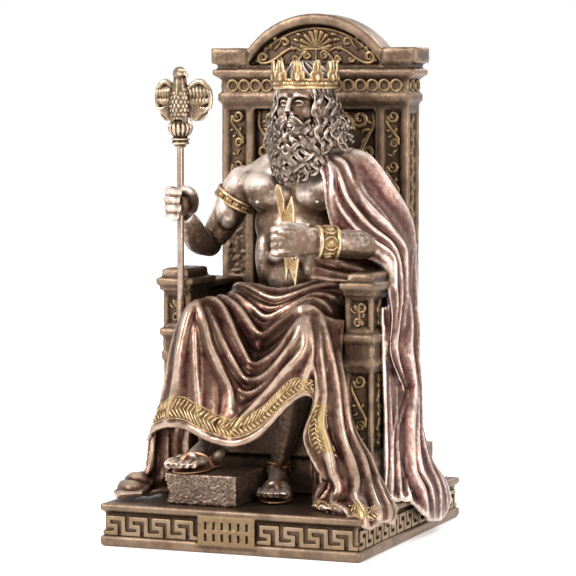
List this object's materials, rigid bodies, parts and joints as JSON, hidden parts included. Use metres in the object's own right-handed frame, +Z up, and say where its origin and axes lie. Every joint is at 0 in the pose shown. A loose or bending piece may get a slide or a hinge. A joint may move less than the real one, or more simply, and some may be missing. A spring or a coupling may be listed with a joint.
{
  "type": "seated zeus statuette",
  "caption": "Crowned, bearded god seated on a high-backed throne with an eagle sceptre and a thunderbolt, draped cloth, footstool and key-pattern plinth.",
  "frame": {"origin": "centre of the plinth's underside", "axes": "+Z up, the figure faces -Y, +X is the figure's own left"},
  "size_m": [0.1422, 0.154, 0.265],
  "materials": {
    "old_gold_bronze": "antiqued gold-brown bronze paint, dark in the recesses, rubbed bright on the ornament",
    "stone_bronze": "dark rough bronze, like hewn stone",
    "figure_bronze": "satin bronze: silvery brown skin, copper-red cloth, gold crown and hem band",
    "rod_bronze": "smooth satin bronze",
    "bright_gold": "rubbed antique gold"
  },
  "bodies": {
    "root": {"plinth": "old_gold_bronze", "throne": "old_gold_bronze", "footstool": "stone_bronze", "figure": "figure_bronze", "sceptre_rod": "rod_bronze", "eagle_finial": "bright_gold", "thunderbolt": "bright_gold"}
  },
  "joints": []
}
